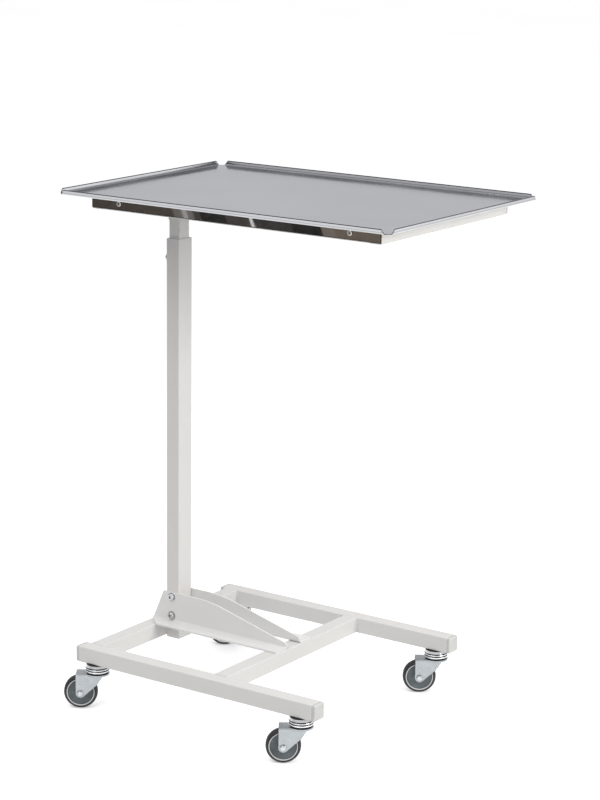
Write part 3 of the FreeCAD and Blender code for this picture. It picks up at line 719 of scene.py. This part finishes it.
class Maker:
    """Turns profiles and paths into pieces of the table."""

    sharp_angle: float = math.radians(32.0)
    longest_round: float = 0.48
    bead_sides: int = 10
    bead_steps_per_ripple: int = 4
    bead_fewest_steps: int = 8
    bead_ripple: float = 0.10
    bead_wander: float = 0.08
    bead_wander_rate: float = 0.37
    bead_taper: float = 0.25
    bead_end: float = 0.02

    @staticmethod
    def place(name: str, mesh: bpy.types.Mesh, body: str, slot: str,
              material: bpy.types.Material) -> bpy.types.Object:
        """Make a piece from a mesh, dress it and let it ride on a body.

        Args:
            name: Name of the piece.
            mesh: Its mesh, in the row frame.
            body: Body it moves with.
            slot: Material slot of the record that it belongs to; not used.
            material: Its finish.

        Returns:
            The new object.
        """
        piece = bpy.data.objects.new(name, mesh)
        bpy.context.scene.collection.objects.link(piece)
        mesh.materials.append(material)
        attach(piece, body)
        LOG.info("piece %s rides on %s", name, body)
        return piece

    @staticmethod
    def turned(name: str, profile: Profile, steps: int = 72) -> bpy.types.Mesh:
        """Turn a closed profile round the Z axis.

        Args:
            name: Name of the mesh.
            profile: Closed loop of (radius, height) points.
            steps: Divisions round the axis.

        Returns:
            The mesh, smooth with sharp edges kept by angle.
        """
        made = bmesh.new()
        rings = []
        for i in range(steps):
            angle = 2.0 * math.pi * i / steps
            c, s = math.cos(angle), math.sin(angle)
            rings.append([made.verts.new((r * c, r * s, z)) for r, z in profile])
        count = len(profile)
        for i in range(steps):
            a, b = rings[i], rings[(i + 1) % steps]
            for j in range(count):
                k = (j + 1) % count
                made.faces.new((a[j], b[j], b[k], a[k]))
        bmesh.ops.recalc_face_normals(made, faces=made.faces)
        mesh = bpy.data.meshes.new(name)
        made.to_mesh(mesh)
        made.free()
        mesh.shade_smooth()
        mesh.set_sharp_from_angle(angle=Maker.sharp_angle)
        return mesh

    @staticmethod
    def rounded(points: Profile, radii: list[float], steps: int = 4) -> Profile:
        """Round the corners of a closed profile.

        Args:
            points: Corner points.
            radii: Corner radius at each point, 0 for a sharp one.
            steps: Divisions of each round.

        Returns:
            The finer profile.
        """
        result: Profile = []
        count = len(points)
        for i, radius in enumerate(radii):
            here = Vector(points[i])
            before = Vector(points[i - 1]) - here
            after = Vector(points[(i + 1) % count]) - here
            if radius <= 0.0:
                result.append(tuple(here))
                continue
            reach = min(radius, before.length * Maker.longest_round, after.length * Maker.longest_round)
            start = here + before.normalized() * reach
            end = here + after.normalized() * reach
            for k in range(steps + 1):
                t = k / steps
                point = start * (1 - t) ** 2 + here * 2 * t * (1 - t) + end * t ** 2
                result.append(tuple(point))
        return result

    @staticmethod
    def bead(name: str, start: Vector, end: Vector, radius: float, pitch: float = 0.0035) -> bpy.types.Mesh:
        """Rippled weld bead along a straight joint.

        Args:
            name: Name of the mesh.
            start: One end of the joint.
            end: The other end.
            radius: Size of the bead.
            pitch: Length of one ripple.

        Returns:
            The mesh of a closed, tapered bead.
        """
        made = bmesh.new()
        run = end - start
        along = run.normalized()
        side = along.orthogonal().normalized()
        other = along.cross(side)
        steps = max(Maker.bead_fewest_steps, int(run.length / pitch) * Maker.bead_steps_per_ripple)
        around = Maker.bead_sides
        rings = []
        for i in range(steps + 1):
            t = i / steps
            inner = min(max(t, Maker.bead_end), 1.0 - Maker.bead_end)
            taper = math.sin(math.pi * inner) ** Maker.bead_taper
            ripple = 1.0 + Maker.bead_ripple * math.cos(2.0 * math.pi * i / Maker.bead_steps_per_ripple)
            wander = 1.0 + Maker.bead_wander * math.sin(i * Maker.bead_wander_rate)
            size = radius * taper * ripple * wander
            centre = start + run * t
            ring = []
            for j in range(around):
                angle = 2.0 * math.pi * j / around
                spoke = side * math.cos(angle) + other * math.sin(angle)
                ring.append(made.verts.new(centre + spoke * size))
            rings.append(ring)
        for a, b in zip(rings, rings[1:]):
            for j in range(around):
                k = (j + 1) % around
                made.faces.new((a[j], a[k], b[k], b[j]))
        made.faces.new(list(reversed(rings[0])))
        made.faces.new(rings[-1])
        bmesh.ops.recalc_face_normals(made, faces=made.faces)
        mesh = bpy.data.meshes.new(name)
        made.to_mesh(mesh)
        made.free()
        mesh.shade_smooth()
        return mesh


class Dresser:
    """Gives CAD nodes their finish and softened edges."""

    edge_segments: int = 2
    edge_angle: float = math.radians(40.0)

    def __init__(self, nodes: dict[str, bpy.types.Object]) -> None:
        """Keep the nodes of the frame.

        Args:
            nodes: CAD nodes by name.
        """
        self.nodes = nodes

    def dress(self, name: str, material: bpy.types.Material, edge: float = 0.0) -> bpy.types.Object:
        """Give one node a finish and, where wanted, a small rounded edge.

        Args:
            name: CAD node.
            material: Its finish.
            edge: Width of the rounded edge in metres, 0 for none.

        Returns:
            The node's object.
        """
        node = self.nodes[name]
        if not node.material_slots:
            node.data.materials.append(material)
        for slot in node.material_slots:
            slot.material = material
        if edge > 0.0:
            bevel = node.modifiers.new("soft_edge", "BEVEL")
            bevel.width = edge
            bevel.segments = self.edge_segments
            bevel.limit_method = "ANGLE"
            bevel.angle_limit = self.edge_angle
            bevel.use_clamp_overlap = True
            bevel.harden_normals = True
        LOG.info("dressed %s with %s", name, material.name)
        return node


# ---- sub-assemblies ----


@dataclass
class BaseFrame:
    """Rails, cross tubes, gussets and the bolts that hold the post."""

    finishes: Finishes
    dresser: Dresser
    bead_radius: float = 0.0015
    bead_inset: float = 0.001
    post_bead_foot: float = 0.002
    post_bead_head: float = 0.004
    tubes: tuple[str, ...] = ("side_rail_near", "side_rail_far", "cross_tube_post", "cross_tube_mid")

    def dress(self) -> None:
        """Give the steel its coat, the caps their plastic and the bolts their zinc."""
        for name in self.tubes:
            self.dresser.dress(name, self.finishes.coat)
        # The gussets take the lighter copy of the coat, which is painted light.
        for side in Side:
            self.dresser.dress("gusset_" + side.value, self.finishes.gusset_lit_coat)
        self.dresser.dress("rail_end_caps", self.finishes.cap)
        for name in ("post_bolts", "post_washers", "post_nuts", "caster_stem_nuts"):
            self.dresser.dress(name, self.finishes.bolt)

    def build(self) -> None:
        """Lay painted weld beads where the cross tubes meet the rails."""
        for tube in ("cross_tube_post", "cross_tube_mid"):
            low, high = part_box(tube)
            for side, y in (("near", low.y), ("far", high.y)):
                for face, x in (("back", low.x), ("front", high.x)):
                    start = Vector((x, y, low.z + self.bead_inset))
                    end = Vector((x, y, high.z - self.bead_inset))
                    self.weld(f"weld_{tube}_{side}_{face}", start, end)
        self.weld_post()

    def weld_post(self) -> None:
        """Lay the two beads that join the post to the rear cross tube."""
        low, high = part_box("cross_tube_post")
        post_low, post_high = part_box("outer_post")
        for side, y in (("near", post_low.y), ("far", post_high.y)):
            start = Vector((high.x, y, low.z + self.post_bead_foot))
            end = Vector((high.x, y, high.z - self.post_bead_head))
            self.weld("weld_post_" + side, start, end)

    def weld(self, name: str, start: Vector, end: Vector) -> None:
        """Lay one painted bead from start to end."""
        mesh = Maker.bead(name, start, end, self.bead_radius)
        Maker.place(name, mesh, "base", "frame_paint", self.finishes.coat)


@dataclass
class Column:
    """Outer and inner post, their plastic guides and the clamp screw."""

    finishes: Finishes
    dresser: Dresser

    def dress(self) -> None:
        """Give the posts their coat and the guides their plastic."""
        for name in ("outer_post", "inner_post", "clamp_boss", "post_socket"):
            self.dresser.dress(name, self.finishes.coat)
        for name in ("post_plug", "guide_sleeve", "foot_glide"):
            self.dresser.dress(name, self.finishes.cap)
        self.dresser.dress("clamp_screw", self.finishes.bolt)


@dataclass
class TrayTop:
    """Tray, bright strips, the frame under them and its fasteners."""

    finishes: Finishes
    dresser: Dresser
    edge: float = 0.00025
    frame_parts: tuple[str, ...] = (
        "frame_left_tube", "frame_right_tube", "frame_near_tube", "frame_far_tube",
        "frame_bars", "head_plate",
    )

    def dress(self) -> None:
        """Give the tray its polish, the strips their mirror and the frame its coat."""
        self.dresser.dress("tray", self.finishes.sheet, self.edge)
        for side in Side:
            self.dresser.dress("strip_" + side.value, self.finishes.strip, self.edge)
        for name in self.frame_parts:
            self.dresser.dress(name, self.finishes.coat)
        self.dresser.dress("strip_screws", self.finishes.screw)
        for name in ("head_plate_bolts", "head_plate_nuts"):
            self.dresser.dress(name, self.finishes.bolt)


@dataclass
class Caster:
    """One swivel caster: turned race and tyre, dressed fork, wheel and axle."""

    finishes: Finishes
    dresser: Dresser
    corner: Corner
    steps: int = 80
    edge: float = 0.0005
    rim_edge: float = 0.0003
    race_bore: float = 0.0071
    race_round: float = 0.0006
    tyre_half: float = 0.010
    tyre_inner: float = 0.026
    prefix: str = field(init=False)

    def __post_init__(self) -> None:
        """Work out the name that this caster's nodes begin with."""
        self.prefix = "caster_" + self.corner.value

    def dress(self) -> None:
        """Give the carried-over nodes their finishes."""
        self.dresser.dress(self.prefix + "_fork", self.finishes.zinc, self.edge)
        self.dresser.dress(self.prefix + "_race", self.finishes.race)
        self.dresser.dress(self.prefix + "_axle", self.finishes.axle)
        self.dresser.dress(self.prefix + "_axle_nut", self.finishes.bolt)
        self.dresser.dress(self.prefix + "_hub", self.finishes.rim, self.rim_edge)
        self.dresser.dress(self.prefix + "_guards", self.finishes.cover)
        self.dresser.dress(self.prefix + "_tyre", self.finishes.rubber)

    def build(self) -> None:
        """Make the turned pieces that replace the plain solids."""
        self.build_race()
        self.build_tyre()

    def build_race(self) -> None:
        """Turn the lower race with its rolled rings."""
        low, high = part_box(self.prefix + "_race")
        centre = (low + high) / 2.0
        radius = (high.x - low.x) / 2.0
        tall = high.z - low.z
        corners: Profile = [
            (self.race_bore, 0.0),
            (radius * 0.845, 0.0),
            (radius * 0.88, tall * 0.12),
            (radius * 0.985, tall * 0.34),
            (radius, tall * 0.46),
            (radius * 0.985, tall * 0.56),
            (radius * 0.845, tall * 0.60),
            (radius * 0.845, tall * 0.69),
            (radius * 0.975, tall * 0.73),
            (radius * 0.985, tall * 0.86),
            (radius * 0.955, tall * 0.97),
            (radius * 0.90, tall),
            (self.race_bore, tall),
        ]
        radii = [0.0] + [self.race_round] * (len(corners) - 2) + [0.0]
        mesh = Maker.turned(self.prefix + "_rings", Maker.rounded(corners, radii), self.steps)
        mesh.transform(Matrix.Translation((centre.x, centre.y, low.z)))
        piece = Maker.place(self.prefix + "_rings", mesh, self.prefix, "race_chrome", self.finishes.race)
        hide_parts(self.prefix + "_race")

    def build_tyre(self) -> None:
        """Turn the tyre with a crowned tread, cheek steps and a mould line."""
        low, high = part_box(self.prefix + "_tyre")
        centre = (low + high) / 2.0
        joint = next(j for j in frame["joints"] if j["name"] == self.corner.value + "_roll")
        axis = Vector(joint["axis"]).normalized()
        radius = (high.z - low.z) / 2.0
        half, inner = self.tyre_half, self.tyre_inner
        corners: Profile = [
            (inner, -half + 0.0004),
            (radius - 0.0040, -half),
            (radius - 0.0034, -half + 0.0005),
            (radius - 0.0003, -half * 0.62),
            (radius - 0.00005, -0.0006),
            (radius, -0.0003),
            (radius, 0.0003),
            (radius - 0.00005, 0.0006),
            (radius - 0.0003, half * 0.62),
            (radius - 0.0034, half - 0.0005),
            (radius - 0.0040, half),
            (inner, half - 0.0004),
        ]
        radii = [0.0, 0.0010, 0.0022, 0.0030, 0.0, 0.0, 0.0, 0.0, 0.0030, 0.0022, 0.0010, 0.0]
        mesh = Maker.turned(self.prefix + "_tread", Maker.rounded(corners, radii), self.steps)
        mesh.transform(Vector((0, 0, 1)).rotation_difference(axis).to_matrix().to_4x4())
        mesh.transform(Matrix.Translation(centre))
        body = "wheel_" + self.corner.value
        piece = Maker.place(self.prefix + "_tread", mesh, body, "tyre_rubber", self.finishes.rubber)
        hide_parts(self.prefix + "_tyre")


@dataclass
class CasterSet:
    """The four casters and their stems."""

    finishes: Finishes
    dresser: Dresser

    def build(self) -> None:
        """Dress the stems and build each caster."""
        self.dresser.dress("caster_stems", self.finishes.cup)
        for corner in Corner:
            caster = Caster(self.finishes, self.dresser, corner)
            caster.dress()
            caster.build()


# ---- studio ----


@dataclass
class Studio:
    """Plain pale floor, soft lights, reflector cards and the camera."""

    target: Vector = field(default_factory=lambda: Vector((0.263, -0.355, 0.697)))
    azimuth: float = 34.7
    elevation: float = 13.4
    roll: float = 0.7
    distance: float = 4.05
    lens: float = 111.2
    floor_size: float = 120.0
    surround: float = 1.1
    under_dim: float = 0.5
    under_fade: float = 0.08
    front: tuple[float, float, float] = (0.8, -0.6, 0.0)
    front_span: tuple[float, float] = (-0.70, -0.40)
    light_aim: Vector = field(default_factory=lambda: Vector((0.0, 0.0, 0.5)))
    bounce_height: float = 0.004
    camera_clip: float = 200.0
    card_y: float = -2.4
    card_low: float = 0.05
    card_top: float = 0.85
    card_pivot: float = 0.51
    card_slant: float = -0.45
    card_roughness: float = 0.9
    cards: tuple[tuple[float, float, Color], ...] = (
        (-2.70, -1.828, (0.135, 0.113, 0.095)),
        (-1.828, -1.795, (0.30, 0.285, 0.27)),
        (-1.795, -1.778, (0.80, 0.79, 0.78)),
        (-1.778, -1.755, (0.34, 0.33, 0.32)),
        (-1.755, -1.729, (0.12, 0.115, 0.11)),
        (-1.729, -1.638, (0.022, 0.022, 0.022)),
        (-1.638, -1.553, (0.115, 0.105, 0.098)),
        (-1.542, -1.409, (0.066, 0.064, 0.062)),
        (-1.409, -1.307, (0.018, 0.018, 0.018)),
        (-1.307, -1.264, (0.36, 0.31, 0.265)),
        (-1.264, -0.70, (0.285, 0.240, 0.195)),
    )
    back_tones: Stops = (
        (0.0, (0.52, 0.522, 0.540)), (0.25, (0.54, 0.542, 0.56)),
        (0.45, (0.78, 0.78, 0.79)), (0.9, WHITE),
    )
    front_tones: Stops = (
        (0.0, (0.62, 0.62, 0.63)), (0.13, (0.60, 0.60, 0.61)), (0.25, (0.28, 0.28, 0.285)),
        (0.50, (0.30, 0.30, 0.305)), (0.70, (0.78, 0.78, 0.78)),
    )

    def build(self) -> None:
        """Make everything that isn't part of the table."""
        self.build_floor()
        self.build_world()
        self.build_lights()
        self.build_cards()
        self.build_camera()

    def build_floor(self) -> None:
        """Make the floor plane."""
        half = self.floor_size / 2.0
        mesh = bpy.data.meshes.new("studio_floor")
        corners = [(-half, -half, 0), (half, -half, 0), (half, half, 0), (-half, half, 0)]
        mesh.from_pydata(corners, [], [(0, 1, 2, 3)])
        floor = bpy.data.objects.new("studio_floor", mesh)
        bpy.context.scene.collection.objects.link(floor)
        mesh.materials.append(StudioFloor().make())
        floor.visible_diffuse = False

    def build_world(self) -> None:
        """Make a soft surround: grey at the horizon, dimmer in front and below, white to the camera."""
        world = bpy.data.worlds.new("studio_surround")
        bpy.context.scene.world = world
        world.use_nodes = True
        background = world.node_tree.nodes["Background"]
        s = NodeTree(world.node_tree)
        direction = s.coords.outputs["Generated"]
        rise = s.split(direction).outputs["Z"]
        facing = s.add("ShaderNodeVectorMath", operation="DOT_PRODUCT")
        facing.inputs[1].default_value = self.front
        s.join(direction, facing.inputs[0])
        turn = s.spread(facing.outputs["Value"], 0.0, 1.0, *self.front_span)
        around = s.mixed(turn, s.ramp(rise, self.back_tones), s.ramp(rise, self.front_tones))
        path = s.add("ShaderNodeLightPath")
        s.join(s.mixed(path.outputs["Is Camera Ray"], around, WHITE), background.inputs["Color"])
        under = s.spread(rise, self.under_dim, 1.0, -self.under_fade, 0.0)
        strength = s.add("ShaderNodeMath", operation="MULTIPLY")
        strength.inputs[1].default_value = self.surround
        s.join(under, strength.inputs[0])
        s.join(strength.outputs["Value"], background.inputs["Strength"])

    def light(self, name: str, place: Vector, aim: Vector, size: tuple[float, float], power: float,
              color: Color = WHITE) -> bpy.types.Object:
        """Hang one rectangular soft light.

        Args:
            name: Name of the light.
            place: Where it hangs.
            aim: What it points at.
            size: Width and height.
            power: Power in watts.
            color: Colour of the light.

        Returns:
            The light.
        """
        data = bpy.data.lights.new(name, "AREA")
        data.shape = "RECTANGLE"
        data.size, data.size_y = size
        data.energy = power
        data.color = color
        lamp = bpy.data.objects.new(name, data)
        lamp.location = place
        lamp.rotation_euler = (aim - place).to_track_quat("-Z", "Y").to_euler()
        bpy.context.scene.collection.objects.link(lamp)
        return lamp

    def build_lights(self) -> None:
        """Hang the overhead, front and side banks and the lip's sheen, and lay the floor's bounce."""
        aim = self.light_aim
        self.light("overhead_bank", Vector((0.4, -0.2, 3.4)), aim, (2.6, 2.6), 2.5)
        self.light("front_bank", Vector((-0.1, -2.8, 3.4)), aim, (2.2, 2.2), 50.0)
        self.light("right_bank", Vector((3.6, 0.35, 1.9)), aim, (2.2, 1.6), 90.0, (1.0, 0.985, 0.955))
        floor_centre = Vector((0.0, 0.0, self.bounce_height))
        bounce = self.light("floor_bounce", floor_centre, Vector((0.0, 0.0, 1.0)), (1.9, 1.9), 4.5,
                            (0.97, 0.985, 1.0))
        bounce.visible_camera = False
        bounce.visible_glossy = False
        sheen = self.light("lip_sheen", Vector((1.45, 2.4, 1.0)), Vector((-0.35, 0.0, 0.97)), (1.6, 0.5), 2.0)
        sheen.visible_camera = False
        sheen.visible_diffuse = False

    def build_cards(self) -> None:
        """Stand leaning cards, most of them dark, for the bright metal to mirror."""
        for index, (left, right, tone) in enumerate(self.cards):
            mesh = bpy.data.meshes.new(f"studio_card_{index}")
            low, high = self.card_low, self.card_top
            shift_low = self.card_slant * (low - self.card_pivot)
            shift_high = self.card_slant * (high - self.card_pivot)
            y = self.card_y
            corners = [
                (left + shift_low, y, low), (right + shift_low, y, low),
                (right + shift_high, y, high), (left + shift_high, y, high),
            ]
            mesh.from_pydata(corners, [], [(0, 1, 2, 3)])
            card = bpy.data.objects.new(f"studio_card_{index}", mesh)
            bpy.context.scene.collection.objects.link(card)
            finish = MouldedPlastic(
                name=f"card_{index}", tone=tone, tone_low=tone, roughness=self.card_roughness,
            )
            mesh.materials.append(finish.make())
            card.visible_camera = False
            card.visible_diffuse = False
            card.visible_shadow = False

    def build_camera(self) -> None:
        """Set the camera on its line of sight."""
        az = math.radians(self.azimuth)
        el = math.radians(self.elevation)
        turn = math.radians(self.roll)
        back = Vector((math.sin(az) * math.cos(el), -math.cos(az) * math.cos(el), math.sin(el)))
        right = Vector((math.cos(az), math.sin(az), 0.0))
        up = back.cross(right)
        right_turned = right * math.cos(turn) + up * math.sin(turn)
        up_turned = up * math.cos(turn) - right * math.sin(turn)
        data = bpy.data.cameras.new("main_camera")
        data.lens = self.lens
        data.clip_end = self.camera_clip
        camera = bpy.data.objects.new("main_camera", data)
        axes = Matrix((right_turned, up_turned, back)).transposed().to_4x4()
        camera.matrix_world = Matrix.Translation(self.target + back * self.distance) @ axes
        bpy.context.scene.collection.objects.link(camera)
        bpy.context.scene.camera = camera


def main() -> None:
    """Build the table's looks and the studio."""
    logging.basicConfig(level=logging.INFO)
    bpy.context.scene.view_settings.view_transform = "Standard"
    finishes = Finishes()
    dresser = Dresser(frame["nodes"])
    base = BaseFrame(finishes, dresser)
    base.dress()
    base.build()
    Column(finishes, dresser).dress()
    TrayTop(finishes, dresser).dress()
    CasterSet(finishes, dresser).build()
    Studio().build()


if __name__ == "__main__":
    main()
